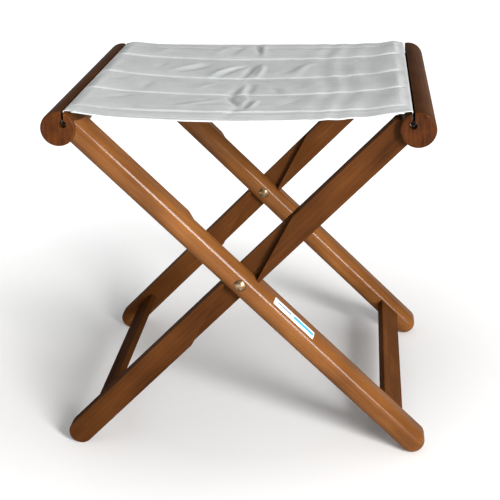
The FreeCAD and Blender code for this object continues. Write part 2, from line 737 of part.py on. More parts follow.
def write_steps():
    for item in doc.Objects:
        if "Invalid" in item.State or "Error" in item.State:
            raise RuntimeError(f"{item.Label} did not build: {item.State}")
    for piece in sub_parts():
        if piece.Shape.isNull() or not piece.Shape.isValid():
            raise RuntimeError(f"{piece.Label} has a bad shape")
    os.makedirs("parts", exist_ok=True)
    for piece in sub_parts():
        piece.Shape.exportStep(f"parts/{piece.Label}.step")
        print(f"{piece.Label}: {len(piece.Shape.Solids)} solid(s), "
              f"{piece.Shape.Volume / 1000:.2f} cm3")


build()
write_steps()
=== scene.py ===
import math

import bmesh
import bpy
import numpy as np
from mathutils import Matrix, Vector


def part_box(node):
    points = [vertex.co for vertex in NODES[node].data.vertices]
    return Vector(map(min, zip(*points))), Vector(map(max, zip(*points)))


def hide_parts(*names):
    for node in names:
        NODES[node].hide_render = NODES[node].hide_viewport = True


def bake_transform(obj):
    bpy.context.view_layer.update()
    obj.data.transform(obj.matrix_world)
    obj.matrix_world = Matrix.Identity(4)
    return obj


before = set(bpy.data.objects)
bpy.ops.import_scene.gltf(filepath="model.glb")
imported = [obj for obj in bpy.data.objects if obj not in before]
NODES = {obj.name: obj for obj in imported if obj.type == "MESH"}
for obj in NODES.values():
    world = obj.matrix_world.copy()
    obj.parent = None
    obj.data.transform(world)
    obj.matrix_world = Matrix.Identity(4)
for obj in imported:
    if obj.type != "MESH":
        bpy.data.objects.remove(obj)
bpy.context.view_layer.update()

# Looks of the folding stool: varnished wood, aged brass and a sewn canvas sling. Metres, +Z up,
# Y along the rails, origin on the floor midway between the feet.

MM = 0.001
rng = np.random.default_rng(41)


# ---------------------------------------------------------------- material helpers

def add(tree, kind, inputs=None, **settings):
    """One shader node; inputs hold numbers, colours or the sockets that feed them."""
    made = tree.nodes.new("ShaderNode" + kind)
    for name, value in settings.items():
        setattr(made, name, value)
    for name, value in (inputs or {}).items():
        if isinstance(value, bpy.types.NodeSocket):
            tree.links.new(value, made.inputs[name])
        else:
            made.inputs[name].default_value = value
    return made


def new_material(name, **shader):
    """A material and its tree with a principled shader that has the given plain values."""
    material = bpy.data.materials.new(name)
    material.use_nodes = True
    tree = material.node_tree
    tree.nodes.clear()
    surface = add(tree, "BsdfPrincipled")
    for socket, value in shader.items():
        surface.inputs[socket.replace("_", " ")].default_value = value
    output = add(tree, "OutputMaterial")
    tree.links.new(surface.outputs["BSDF"], output.inputs["Surface"])
    return material, tree, surface


def stretched(tree, vector, scale):
    """The vector scaled by a different amount along each axis."""
    return add(tree, "Mapping", {"Vector": vector, "Scale": scale}).outputs["Vector"]


def noise(tree, vector, scale=1.0, detail=2.0, roughness=0.5):
    """Fractal noise from 0 to 1."""
    made = add(tree, "TexNoise", {"Vector": vector, "Scale": scale, "Detail": detail,
                                  "Roughness": roughness})
    return made.outputs["Fac"]


def math_node(tree, operation, first, second=0.0, third=0.0):
    """One arithmetic step on numbers or sockets."""
    made = add(tree, "Math", operation=operation)
    for socket, value in zip(made.inputs, (first, second, third)):
        if isinstance(value, bpy.types.NodeSocket):
            tree.links.new(value, socket)
        else:
            socket.default_value = value
    return made.outputs["Value"]


def fit(tree, value, low, high, new_low=0.0, new_high=1.0):
    """A value remapped from one range to another, and held inside it."""
    return add(tree, "MapRange", {"Value": value, "From Min": low, "From Max": high,
                                  "To Min": new_low, "To Max": new_high}).outputs["Result"]


def ramp(tree, value, stops):
    """A colour ramp through (place, colour) stops."""
    made = add(tree, "ValToRGB", {"Fac": value})
    points = made.color_ramp.elements
    while len(points) < len(stops):
        points.new(0.5)
    for point, (place, colour) in zip(points, stops):
        point.position = place
        point.color = (*colour, 1.0)
    return made.outputs["Color"]


def mix_colour(tree, factor, first, second, blend="MIX"):
    """Two colours mixed by a factor; each may be a plain value or a socket."""
    made = add(tree, "Mix", data_type="RGBA", blend_type=blend)
    # the Mix node's sockets 6 and 7 are its two colour inputs
    for index, value in ((0, factor), (6, first), (7, second)):
        if isinstance(value, bpy.types.NodeSocket):
            tree.links.new(value, made.inputs[index])
        elif index == 0:
            made.inputs[0].default_value = value
        else:
            made.inputs[index].default_value = (*value, 1.0)
    return made.outputs[2]


def bump(tree, surface, height, depth, strength=1.0, under=None):
    """Feed the shader's normal from a height that spans depth metres."""
    inputs = {"Height": height, "Distance": depth, "Strength": strength}
    if under is not None:
        inputs["Normal"] = under
    normal = add(tree, "Bump", inputs).outputs["Normal"]
    tree.links.new(normal, surface.inputs["Normal"])
    return normal


# ---------------------------------------------------------------- wood

LEFT_LEG_GRAIN = (0.0, -math.pi / 4, 0.0)
RIGHT_LEG_GRAIN = (0.0, math.pi / 4, 0.0)
RAIL_GRAIN = (0.0, 0.0, -math.pi / 2)
WOOD_STOPS = [(0.0, (0.036, 0.012, 0.0035)), (0.3, (0.090, 0.031, 0.008)),
              (0.55, (0.19, 0.072, 0.018)), (0.8, (0.33, 0.145, 0.044)),
              (1.0, (0.47, 0.255, 0.115))]
PORE_COLOUR = (0.035, 0.013, 0.006)
PORE_SHARE = 0.38
PORE_RANGE = (0.64, 0.74)
RING_SHARE, FIBRE_SHARE, FLAME_SHARE, BLOTCH_SHARE = 0.06, 0.09, 0.36, 0.42

# Noise cells per metre along the grain, and twice across it.
DRIFT_CELLS = (3.0, 17.0, 17.0)
FIBRE_CELLS = (13.0, 620.0, 620.0)
FLAME_CELLS = (6.0, 52.0, 52.0)
BLOTCH_CELLS = (13.0, 26.0, 26.0)
PORE_CELLS = (80.0, 2300.0, 2300.0)
PEEL_CELLS = (14.0, 90.0, 90.0)
END_CELLS = (420.0, 30.0, 60.0)
RING_SQUASH = (0.05, 1.0, 1.0)
RING_SCALE, RING_DISTORTION, RING_DRIFT = 62.0, 9.0, 14.0

END_GRAIN_RANGE = (0.80, 0.97)
END_TINTS = [(0.35, (0.62, 0.50, 0.42)), (0.65, (1.0, 0.86, 0.74))]
VARNISH_ROUGHNESS = 0.16
UNDERCOAT_ROUGHNESS = (0.40, 0.54)
PORE_SINK = -0.8
FIBRE_DEPTH, FIBRE_STRENGTH = 0.00006, 0.4
PEEL_DEPTH, PEEL_STRENGTH = 0.0005, 0.10


def wood(name, turn, offset, tone, gloss):
    """Varnished hardwood with the grain along the local X that turn gives; tone is 0 to 1."""
    material, tree, surface = new_material(
        name, Coat_Weight=gloss, Coat_Roughness=VARNISH_ROUGHNESS, Coat_IOR=1.5,
        Specular_IOR_Level=0.0)
    place = add(tree, "TexCoord").outputs
    aligned = add(tree, "Mapping", {"Vector": place["Object"], "Rotation": turn})
    along = add(tree, "Mapping", {"Vector": aligned.outputs["Vector"],
                                  "Location": offset}).outputs["Vector"]
    facing = add(tree, "Mapping", {"Vector": place["Normal"], "Rotation": turn},
                 vector_type="NORMAL").outputs["Vector"]
    across_grain = math_node(tree, "ABSOLUTE",
                             add(tree, "SeparateXYZ", {"Vector": facing}).outputs["X"])
    end_grain = fit(tree, across_grain, *END_GRAIN_RANGE)

    drift = noise(tree, stretched(tree, along, DRIFT_CELLS), detail=3.0)
    rings_at = stretched(tree, along, RING_SQUASH)
    rings = add(tree, "TexWave",
                {"Vector": rings_at, "Scale": RING_SCALE, "Distortion": RING_DISTORTION,
                 "Detail": 2.5, "Detail Scale": 0.5,
                 "Phase Offset": math_node(tree, "MULTIPLY", drift, RING_DRIFT)},
                wave_type="RINGS", rings_direction="X", wave_profile="SAW").outputs["Fac"]
    fibre = noise(tree, stretched(tree, along, FIBRE_CELLS), detail=3.0, roughness=0.55)
    flame = noise(tree, stretched(tree, along, FLAME_CELLS), detail=4.0, roughness=0.6)
    blotch = noise(tree, stretched(tree, along, BLOTCH_CELLS), detail=2.0)
    pores = fit(tree, noise(tree, stretched(tree, along, PORE_CELLS), detail=1.0), *PORE_RANGE)

    shares = ((rings, RING_SHARE), (fibre, FIBRE_SHARE), (flame, FLAME_SHARE),
              (blotch, BLOTCH_SHARE))
    value = tone - sum(share for pattern, share in shares) / 2
    for pattern, share in shares:
        value = math_node(tree, "MULTIPLY_ADD", pattern, share, value)
    colour = ramp(tree, value, WOOD_STOPS)
    colour = mix_colour(tree, math_node(tree, "MULTIPLY", pores, PORE_SHARE), colour,
                        PORE_COLOUR)
    streaks = noise(tree, stretched(tree, place["Object"], END_CELLS), detail=3.0)
    end_tint = ramp(tree, streaks, END_TINTS)
    colour = mix_colour(tree, end_grain, colour,
                        mix_colour(tree, 1.0, colour, end_tint, blend="MULTIPLY"))
    tree.links.new(colour, surface.inputs["Base Color"])
    tree.links.new(fit(tree, blotch, 0.3, 0.7, *UNDERCOAT_ROUGHNESS),
                   surface.inputs["Roughness"])

    height = math_node(tree, "MULTIPLY_ADD", pores, PORE_SINK, fibre)
    fine = bump(tree, surface, height, FIBRE_DEPTH, FIBRE_STRENGTH)
    orange_peel = noise(tree, stretched(tree, along, PEEL_CELLS), detail=2.0)
    bump(tree, surface, orange_peel, PEEL_DEPTH, PEEL_STRENGTH, under=fine)
    return material


# ---------------------------------------------------------------- other solid materials

# near-black rod colours: painted shade of the groove round the rod
ROD_SHADE_STOPS = [(0.25, (0.018, 0.010, 0.006)), (0.75, (0.060, 0.036, 0.020))]
BRASS_STOPS = [(0.45, (0.085, 0.048, 0.024)), (0.64, (0.21, 0.135, 0.072)),
               (0.84, (0.46, 0.34, 0.20))]
BRASS_ROUGHNESS = (0.48, 0.26)
DULLER = -0.12


def dark_rod():
    """Bare rod wood kept near black: painted shade of the deep groove it lies in."""
    material, tree, surface = new_material("groove_rod_painted_shade", Roughness=0.75)
    place = add(tree, "TexCoord").outputs["Object"]
    fibre = noise(tree, stretched(tree, place, (900.0, 18.0, 900.0)), detail=3.0)
    tone = noise(tree, stretched(tree, place, (60.0, 12.0, 60.0)))
    value = math_node(tree, "MULTIPLY_ADD", fibre, 0.6, math_node(tree, "MULTIPLY", tone, 0.4))
    tree.links.new(ramp(tree, value, ROD_SHADE_STOPS), surface.inputs["Base Color"])
    bump(tree, surface, fibre, 0.0001, 0.6)
    return material


def brass(name, wear):
    """Aged brass: brown tarnish in patches, brighter where it has been rubbed."""
    material, tree, surface = new_material(name, Metallic=1.0)
    place = add(tree, "TexCoord").outputs["Object"]
    patches = noise(tree, place, 260.0, 5.0, 0.62)
    specks = noise(tree, place, 1500.0, 3.0)
    value = math_node(tree, "MULTIPLY_ADD", specks, 0.35, math_node(tree, "ADD", patches, wear))
    tree.links.new(ramp(tree, value, BRASS_STOPS), surface.inputs["Base Color"])
    tree.links.new(fit(tree, patches, 0.35, 0.7, *BRASS_ROUGHNESS),
                   surface.inputs["Roughness"])
    bump(tree, surface, value, 0.00012, 0.5)
    return material


# The sticker's ends from the pivot along the leg, and the centre line of the leg's rounding as
# height across the leg and Y.
STICKER_START, STICKER_END = 42 * MM, 110 * MM
SHOULDER_CENTRE = (2 * MM, -178.5 * MM)
PAPER_TINTS = [(0.3, (0.66, 0.71, 0.72)), (0.7, (0.86, 0.89, 0.90))]
# Printed bars: share of the length from and to, degrees round the leg from and to, colour.
STICKER_BARS = [(0.46, 0.93, 14, 32, (0.055, 0.31, 0.62)),
                (0.08, 0.40, 19, 27, (0.020, 0.085, 0.19))]


def sticker():
    """Glossy white strip with two plain blue bars; it carries no lettering."""
    material, tree, surface = new_material("sticker_print", Roughness=0.30, Coat_Weight=0.35,
                                           Coat_Roughness=0.12)
    place = add(tree, "TexCoord").outputs["Object"]
    pivot_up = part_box("front_pivot_sleeve")
    pivot_height = (pivot_up[0].z + pivot_up[1].z) / 2
    moved = add(tree, "Mapping", {"Vector": place, "Location": (0.0, 0.0, -pivot_height)})
    aligned = add(tree, "Mapping", {"Vector": moved.outputs["Vector"],
                                    "Rotation": LEFT_LEG_GRAIN}).outputs["Vector"]
    parts = add(tree, "SeparateXYZ", {"Vector": aligned}).outputs
    down = fit(tree, parts["X"], STICKER_START, STICKER_END)
    up = math_node(tree, "SUBTRACT", parts["Z"], SHOULDER_CENTRE[0])
    out = math_node(tree, "SUBTRACT", SHOULDER_CENTRE[1], parts["Y"])
    around = math_node(tree, "ARCTAN2", out, up)

    def bar(start, end, low, high):
        """1 inside a stretch of the length and of the turn round the leg, else 0."""
        inside = [math_node(tree, "GREATER_THAN", down, start),
                  math_node(tree, "LESS_THAN", down, end),
                  math_node(tree, "GREATER_THAN", around, math.radians(low)),
                  math_node(tree, "LESS_THAN", around, math.radians(high))]
        result = inside[0]
        for item in inside[1:]:
            result = math_node(tree, "MULTIPLY", result, item)
        return result

    grime = noise(tree, place, 240.0, 4.0)
    inked = ramp(tree, grime, PAPER_TINTS)
    for start, end, low, high, ink in STICKER_BARS:
        inked = mix_colour(tree, bar(start, end, low, high), inked, ink)
    tree.links.new(inked, surface.inputs["Base Color"])
    bump(tree, surface, grime, 0.0002, 0.3)
    return material


# ---------------------------------------------------------------- canvas

THREAD_PITCH = 0.62 * MM
THREAD_WOBBLE = 1.2
WEAVE_SHARE, SLUB_SHARE, MOTTLE_SHARE, CREASE_SHADE_SHARE = 0.16, 0.34, 0.95, 0.34
CANVAS_ROUGHNESS = (0.62, 0.78)
CANVAS_LIGHT, CANVAS_DARK = (0.520, 0.545, 0.548), (0.318, 0.336, 0.334)
THREAD_TINTS = [(0.3, (0.42, 0.43, 0.42)), (0.7, (0.66, 0.67, 0.66))]


def canvas(name, light, dark):
    """Plain-woven canvas; the flat cloth's own coordinates, in metres, carry the weave."""
    material, tree, surface = new_material(name, Sheen_Weight=0.22, Sheen_Roughness=0.45,
                                           Specular_IOR_Level=0.25)
    flat = add(tree, "UVMap", uv_map="flat_cloth").outputs["UV"]
    parts = add(tree, "SeparateXYZ", {"Vector": flat}).outputs
    turns = 2 * math.pi / THREAD_PITCH
    wobble = noise(tree, flat, 900.0, 2.0)
    warp = math_node(tree, "SINE", math_node(tree, "MULTIPLY_ADD", wobble, THREAD_WOBBLE,
                     math_node(tree, "MULTIPLY", parts["X"], turns)))
    weft = math_node(tree, "SINE", math_node(tree, "MULTIPLY_ADD", wobble, -THREAD_WOBBLE,
                     math_node(tree, "MULTIPLY", parts["Y"], turns)))
    weave = fit(tree, math_node(tree, "MULTIPLY", warp, weft), -1.0, 1.0)
    slubs_x = noise(tree, stretched(tree, flat, (60.0, 1900.0, 1.0)), detail=2.0)
    slubs_y = noise(tree, stretched(tree, flat, (1900.0, 60.0, 1.0)), detail=2.0)
    slubs = math_node(tree, "ADD", slubs_x, slubs_y)
    mottle = noise(tree, flat, 26.0, 5.0, 0.6)
    value = math_node(tree, "MULTIPLY_ADD", weave, WEAVE_SHARE,
                      math_node(tree, "MULTIPLY_ADD", slubs, SLUB_SHARE, -SLUB_SHARE / 2))
    value = math_node(tree, "MULTIPLY_ADD", mottle, MOTTLE_SHARE, value)
    # painted shade in the cloth's hollows and painted light on its ridges, taken from the
    # sheet's own relief
    crease_shade = add(tree, "Attribute", attribute_name="crease_shade").outputs["Fac"]
    value = math_node(tree, "MULTIPLY_ADD", crease_shade, -CREASE_SHADE_SHARE, value)
    colour = ramp(tree, value, [(0.15, dark), (0.90, light)])
    tree.links.new(colour, surface.inputs["Base Color"])
    tree.links.new(fit(tree, mottle, 0.3, 0.7, *CANVAS_ROUGHNESS),
                   surface.inputs["Roughness"])
    threads = bump(tree, surface, weave, 0.00010, 0.55)
    bump(tree, surface, slubs, 0.00012, 0.4, under=threads)
    return material


def thread():
    """Twisted sewing thread."""
    material, tree, surface = new_material("sewing_thread", Roughness=0.6, Sheen_Weight=0.3)
    place = add(tree, "TexCoord").outputs["Object"]
    twist = noise(tree, stretched(tree, place, (2200.0, 2200.0, 900.0)), detail=1.0)
    tree.links.new(ramp(tree, twist, THREAD_TINTS), surface.inputs["Base Color"])
    bump(tree, surface, twist, 0.0001, 0.5)
    return material


# ---------------------------------------------------------------- the sling's numbers

rod_low, rod_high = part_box("left_seat_rod")
cloth_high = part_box("seat_cloth")[1]

SLOT_X = -(rod_low.x + rod_high.x) / 2
ROD_Z = (rod_low.z + rod_high.z) / 2
ROD_HALF_LENGTH = rod_high.y
HALF_DEPTH = cloth_high.y
CLOTH_THICKNESS = 0.9 * MM
LOOP_PLAY = 0.1 * MM
LOOP_RADIUS = (rod_high.z - rod_low.z) / 2 + CLOTH_THICKNESS / 2 + LOOP_PLAY

# The tail hangs in the slot; the lip is its bend over the slot's edge, and the panel is the flat
# seat between the two lips.
TAIL_SHIFT = 0.8 * MM
TAIL_X = SLOT_X - TAIL_SHIFT
LIP_RADIUS = 1.8 * MM
LIP_Z = 424.4 * MM
PANEL_X = TAIL_X - LIP_RADIUS
PANEL_Z = LIP_Z + LIP_RADIUS
HEM = 24 * MM
HEM_STEP = 1.15 * MM
SIDE_BAND = 15 * MM
TUCKS = (-78 * MM, 13 * MM, 113 * MM)

# Depth of the sling's middle below its ends, from the near edge to the far edge.
SAG_AT = np.array([-191, -167, -122, -76, 17, 113, 152, 170, 191]) * MM
SAG = np.array([10.6, 5.6, 8.4, 10.0, 11.3, 8.2, 4.0, 0.8, -1.4]) * MM

# Creases: start x, y, end x, y, width and height before the boost, in millimetres.
CREASES = [
    (-162, -129, -128, -88, 5, -0.55), (-172, -40, -150, 6, 6, -0.40),
    (-126, -72, -118, -14, 6, -0.50), (-111, 30, -70, 98, 6, 0.75),
    (-98, 26, -56, 92, 5, -0.60), (-56, 6, -20, 90, 5, 0.85), (-44, 8, -10, 84, 4, -0.70),
    (-84, -140, -31, -99, 6, -0.60), (-72, -146, -22, -108, 5, 0.50),
    (-127, 48, -119, 92, 6, -0.45), (4, -163, 10, -112, 4, -0.80), (11, -158, 19, -108, 4, 0.55),
    (-12, -8, -10, -190, 5, -0.90), (-3, -20, 0, -160, 4, 0.50), (-14, 8, 6, 92, 4, -1.10),
    (4, 6, 15, 88, 4, 0.95), (-7, 190, -1, 118, 4, -0.90), (3, 188, 8, 122, 4, 0.60),
    (1, -8, 8, -84, 5, -0.70), (49, 8, 78, 96, 7, 0.60), (33, 16, 60, 90, 6, -0.40),
    (31, -40, 40, -84, 6, -0.45), (84, 100, 98, 176, 9, -0.35), (-62, -66, -40, -12, 6, 0.45),
    (62, -74, 92, -12, 9, 0.35), (112, 20, 138, 104, 9, -0.30), (-140, 118, -116, 176, 8, 0.35),
    (-60, 120, -44, 180, 6, 0.45), (-36, 118, -28, 184, 5, -0.50), (40, -160, 66, -90, 8, -0.35),
]


def sag_line(x, y):
    """Height of the smooth sling at points of the flat seat."""
    depth = np.interp(y, SAG_AT, SAG)
    return PANEL_Z - depth * (1 - (x / PANEL_X) ** 2)


# ---------------------------------------------------------------- cloth simulation

SIM_COUNT = 89
SIM_FRAMES = 36
SIM_SHEAR = 0.006
SIM_SLACK = 0.0035
SIM_NOISE = 0.15 * MM
NOISE_REACH, FREE_REACH = 0.98, 0.999
BROAD_WIDTH = 34 * MM
FADE_WIDTH = 14 * MM


def simulate_sling():
    """Wrinkles of a slack, slightly sheared sheet over its smooth sag, on a grid [y, x]."""
    across = np.linspace(-PANEL_X, PANEL_X, SIM_COUNT)
    deep = np.linspace(-HALF_DEPTH, HALF_DEPTH, SIM_COUNT)
    x, y = np.meshgrid(across, deep)
    smooth = sag_line(x, y)
    rough = rng.normal(0.0, SIM_NOISE, x.shape) * (np.abs(x) < PANEL_X * NOISE_REACH)
    start = smooth + rough
    points = np.stack([x, y, start], axis=-1).reshape(-1, 3)
    cells = [(r * SIM_COUNT + c, r * SIM_COUNT + c + 1, (r + 1) * SIM_COUNT + c + 1,
              (r + 1) * SIM_COUNT + c)
             for r in range(SIM_COUNT - 1) for c in range(SIM_COUNT - 1)]
    mesh = bpy.data.meshes.new("sling_sim")
    mesh.from_pydata(points.tolist(), [], cells)
    sheet = bpy.data.objects.new("sling_sim", mesh)
    bpy.context.scene.collection.objects.link(sheet)
    held = sheet.vertex_groups.new(name="held")
    edge = np.flatnonzero(np.abs(x.ravel()) > PANEL_X * FREE_REACH)
    held.add(edge.tolist(), 1.0, "REPLACE")

    sheet.shape_key_add(name="Basis")
    cut = sheet.shape_key_add(name="cut")
    # the sheet is cut a little larger than its place, and out of square
    flat = points.copy()
    flat[:, 1] = points[:, 1] * (1 + SIM_SLACK) + points[:, 0] * SIM_SHEAR
    flat[:, 0] = points[:, 0] * (1 + SIM_SLACK)
    cut.data.foreach_set("co", flat.ravel())

    cloth = sheet.modifiers.new("Cloth", "CLOTH")
    settings = cloth.settings
    settings.quality = 7
    settings.mass = 0.25
    settings.tension_stiffness = settings.compression_stiffness = 40
    settings.shear_stiffness = 25
    settings.bending_stiffness = 0.6
    settings.air_damping = 2
    settings.vertex_group_mass = "held"
    settings.rest_shape_key = cut
    cloth.collision_settings.use_self_collision = False
    cloth.point_cache.frame_end = SIM_FRAMES
    scene = bpy.context.scene
    for step in range(1, SIM_FRAMES + 1):
        scene.frame_set(step)
    seen = sheet.evaluated_get(bpy.context.evaluated_depsgraph_get())
    settled = np.zeros(len(points) * 3)
    seen.data.vertices.foreach_get("co", settled)
    scene.frame_set(1)
    rise = settled.reshape(SIM_COUNT, SIM_COUNT, 3)[..., 2] - smooth
    bpy.data.objects.remove(sheet)
    bpy.data.meshes.remove(mesh)
    # the broad shape comes from the photo's sag, so only the fine wrinkles are kept
    broad = spread(deep, deep, BROAD_WIDTH) @ rise @ spread(across, across, BROAD_WIDTH).T
    wrinkles = (rise - broad) * np.clip((PANEL_X - np.abs(x)) / FADE_WIDTH, 0, 1)
    print("sling simulation, mm: rise", rise.min() / MM, rise.max() / MM,
          "wrinkles", wrinkles.min() / MM, wrinkles.max() / MM, wrinkles.std() / MM)
    return across, deep, wrinkles


def spread(fine, coarse, width):
    """Smoothing weights that carry values from coarse places to fine ones."""
    weights = np.exp(-((fine[:, None] - coarse[None, :]) / width) ** 2)
    return weights / weights.sum(axis=1, keepdims=True)


# ---------------------------------------------------------------- the sewn sling

def steps_between(start, end, step):
    """Evenly spaced places from start up to, but not including, end."""
    count = max(1, round(abs(end - start) / step))
    return np.linspace(start, end, count, endpoint=False)


HEM_ROW_STEP = 3 * MM
SEAM_ROW_STEP, ROW_STEP = 0.9 * MM, 2.8 * MM
SEAM_REACH = 5.5 * MM
LEAST_ROW_GAP = 0.2 * MM
FOLD_POINTS = 6


def cloth_rows():
    """Rows from the near hem's hidden edge to the far hem's: y, and drop below the top layer."""
    radius = HEM_STEP / 2
    turn = HALF_DEPTH - radius
    bend = np.linspace(math.pi / 2, -math.pi / 2, FOLD_POINTS)
    under = np.append(steps_between(turn, HALF_DEPTH - HEM, HEM_ROW_STEP)[1:], HALF_DEPTH - HEM)
    hem_places = np.concatenate([turn + radius * np.cos(bend), under])
    hem_drops = np.concatenate([-radius + radius * np.sin(bend), np.full(len(under), -HEM_STEP)])
    marks = sorted([-turn, -HALF_DEPTH + HEM, HALF_DEPTH - HEM, turn, *TUCKS])
    top = []
    for start, end in zip(marks, marks[1:]):
        y = start
        while y < end - LEAST_ROW_GAP:
            top.append(y)
            nearest = min(abs(y - mark) for mark in marks)
            y += SEAM_ROW_STEP if nearest < SEAM_REACH else ROW_STEP
    top = top[1:]
    places = np.concatenate([-hem_places[::-1], top, hem_places])
    drops = np.concatenate([hem_drops[::-1], np.zeros(len(top)), hem_drops])
    return places, drops


LIP_POINTS, DROP_POINTS, LOOP_POINTS = 7, 6, 22
LOOP_START, LOOP_STOP = 0.55, 0.75
DROP_GAP = 2.2 * MM


def side_path():
    """Centre line (x, z) of the right-hand tail, from the lip down and round the rod."""
    lip = [(PANEL_X + LIP_RADIUS * math.sin(a), LIP_Z + LIP_RADIUS * math.cos(a))
           for a in np.linspace(0, math.pi / 2, LIP_POINTS)[1:]]
    first = math.asin((TAIL_X - SLOT_X) / LOOP_RADIUS) + LOOP_START
    loop = [(SLOT_X - LOOP_RADIUS * math.sin(a), ROD_Z + LOOP_RADIUS * math.cos(a))
            for a in np.linspace(first, 2 * math.pi - LOOP_STOP, LOOP_POINTS)]
    foot = ROD_Z + LOOP_RADIUS + DROP_GAP
    drop = [(TAIL_X, z) for z in np.linspace(LIP_Z, foot, DROP_POINTS)[1:]]
    return np.array(lip + drop + loop)


def smooth_step(value, start, end):
    """0 before start, 1 after end, smooth between."""
    part = np.clip((value - start) / (end - start), 0, 1)
    return part * part * (3 - 2 * part)


def ridge(distance, width):
    """1 on a line, falling smoothly to 0 over about twice the width."""
    return np.exp(-(distance / width) ** 2)


def wavy(x, length, bend, bend_length, phase=0.0):
    """A sine whose spacing drifts along x."""
    return np.sin(x / length + bend * np.sin(x / bend_length) + phase)


EDGE_FADE = 12 * MM
PANEL_ROLL, ROLL_RISE, ROLL_FALL = 2.2 * MM, (-1 * MM, 26 * MM), 30 * MM
TUCK_STEP, STEP_RISE, STEP_FALL = 1.3 * MM, (-1.6 * MM, 0.8 * MM), (6 * MM, 30 * MM)
GROOVE_DEPTH, GROOVE_AT, GROOVE_WIDTH = 0.8 * MM, -3.0 * MM, 2.6 * MM
TUCK_WANDER, TUCK_WANDER_LENGTH = 0.8 * MM, 31 * MM
TUCK_END_GAP = 4 * MM
HEM_DROOP = 1.6 * MM
HEM_SHARE = 0.6
HEM_GROOVE_DEPTH, HEM_GROOVE_WIDTH = 0.6 * MM, 1.6 * MM
HEM_RIPPLE, HEM_RIPPLE_WIDTH, HEM_RIPPLE_WAVE = 0.20 * MM, 7 * MM, (7.3 * MM, 1.3, 23 * MM)
SEAM_GROOVE_DEPTH, SEAM_GROOVE_WIDTH = 0.25 * MM, 1.1 * MM
BAND_RISE, BAND_STEP = 0.15 * MM, 2 * MM
PUCKER_LEFT, PUCKER_RIGHT, PUCKER_WAVE = 0.14 * MM, 0.26 * MM, (2.9 * MM, 1.7, 13 * MM)
PUCKER_INSET, PUCKER_WIDTH, PUCKER_SWELL = 4 * MM, 8 * MM, 37 * MM
CREASE_BOOST = 2.7
CREASE_BEND, CREASE_BEND_LENGTH, CREASE_ENDS = 0.06, 19 * MM, 1.15
WAVE_HEIGHT, WAVE_FROM, WAVE_GROWTH = 0.42 * MM, 35 * MM, 60 * MM
RIGHT_WAVE = (5.2 * MM, 0.9, 17 * MM)
WAVE_SWAY, WAVE_SWAY_LENGTH = 1.4, 41 * MM


def tuck_profile(t, back):
    """Height beyond a tuck: a step up, a rounded rise, and an easy fall back over `back`."""
    rise = PANEL_ROLL * smooth_step(t, *ROLL_RISE) * (1 - smooth_step(t, ROLL_FALL, back))
    step = TUCK_STEP * smooth_step(t, *STEP_RISE) * (1 - smooth_step(t, *STEP_FALL))
    return rise + step - GROOVE_DEPTH * ridge(t - GROOVE_AT, GROOVE_WIDTH)


def tuck_and_hem_relief(x, y):
    """Height of the tucks and of the two hems."""
    rise = np.zeros_like(x)
    ends = [*TUCKS[1:], HALF_DEPTH - HEM]
    for tuck, end in zip(TUCKS, ends):
        shift = tuck + TUCK_WANDER * np.sin(x / TUCK_WANDER_LENGTH + tuck / MM)
        rise += tuck_profile(y - shift, end - tuck - TUCK_END_GAP)
    near = -HALF_DEPTH + HEM
    rise += HEM_SHARE * tuck_profile(y - near, TUCKS[0] - near - TUCK_END_GAP)
    rise -= HEM_DROOP * smooth_step(-y, -near, HALF_DEPTH)
    for edge in (-1, 1):
        inward = edge * y - HALF_DEPTH + HEM
        rise -= HEM_GROOVE_DEPTH * ridge(inward, HEM_GROOVE_WIDTH)
        ripple = wavy(x, *HEM_RIPPLE_WAVE, edge)
        rise += HEM_RIPPLE * ripple * ridge(inward, HEM_RIPPLE_WIDTH)
    return rise


def side_band_relief(x, y):
    """Height of the doubled band along each rail, and of the puckers beside its seam."""
    past_seam = np.abs(x) - (PANEL_X - SIDE_BAND)
    pucker = wavy(y, *PUCKER_WAVE)
    swell = 0.5 + 0.5 * np.sin(y / PUCKER_SWELL + 1.0)
    strength = np.where(x > 0, PUCKER_RIGHT, PUCKER_LEFT)
    return (BAND_RISE * np.clip(past_seam / BAND_STEP, 0, 1)
            - SEAM_GROOVE_DEPTH * ridge(past_seam, SEAM_GROOVE_WIDTH)
            + strength * pucker * swell * ridge(past_seam + PUCKER_INSET, PUCKER_WIDTH))


def crease_relief(x, y):
    """Height of the single creases, and of the fine waves on the right-hand side."""
    rise = np.zeros_like(x)
    for x0, y0, x1, y1, width, height in CREASES:
        start, end = np.array([x0, y0]) * MM, np.array([x1, y1]) * MM
        length = np.linalg.norm(end - start)
        run = (end - start) / length
        along = (x - start[0]) * run[0] + (y - start[1]) * run[1]
        beside = (x - start[0]) * run[1] - (y - start[1]) * run[0]
        beside = beside + CREASE_BEND * along * np.sin(along / CREASE_BEND_LENGTH + x0)
        fade = smooth_step(CREASE_ENDS - np.abs(along / length * 2 - 1), 0, 1)
        rise += CREASE_BOOST * height * MM * fade * ridge(beside, width * MM)
    waves = wavy(x, *RIGHT_WAVE, WAVE_SWAY * np.sin(y / WAVE_SWAY_LENGTH))
    right = np.clip((x - WAVE_FROM) / WAVE_GROWTH, 0, 1)
    return rise + WAVE_HEIGHT * waves * right


def relief(x, y):
    """Height of seams, hems, bands and creases over the sling, metres."""
    inside = smooth_step(PANEL_X - np.abs(x), 0, EDGE_FADE)
    return inside * (tuck_and_hem_relief(x, y) + side_band_relief(x, y) + crease_relief(x, y))


HOLLOW_WIDTH = 9 * MM


def hollows(rows, panel, height):
    """How far each place lies below its surroundings, in millimetres, held to +-1."""
    blur_y = spread(rows, rows, HOLLOW_WIDTH) * np.gradient(rows)
    blur_y /= blur_y.sum(axis=1, keepdims=True)
    around = blur_y @ height @ spread(panel, panel, HOLLOW_WIDTH).T
    return np.clip((around - height) / MM, -1, 1)


PANEL_COLUMNS = 155
SIM_BLUR = 0.8
WRINKLE_BOOST = 1.3
HEM_TRIM = 3
PAST_ROD_CELLS = 6


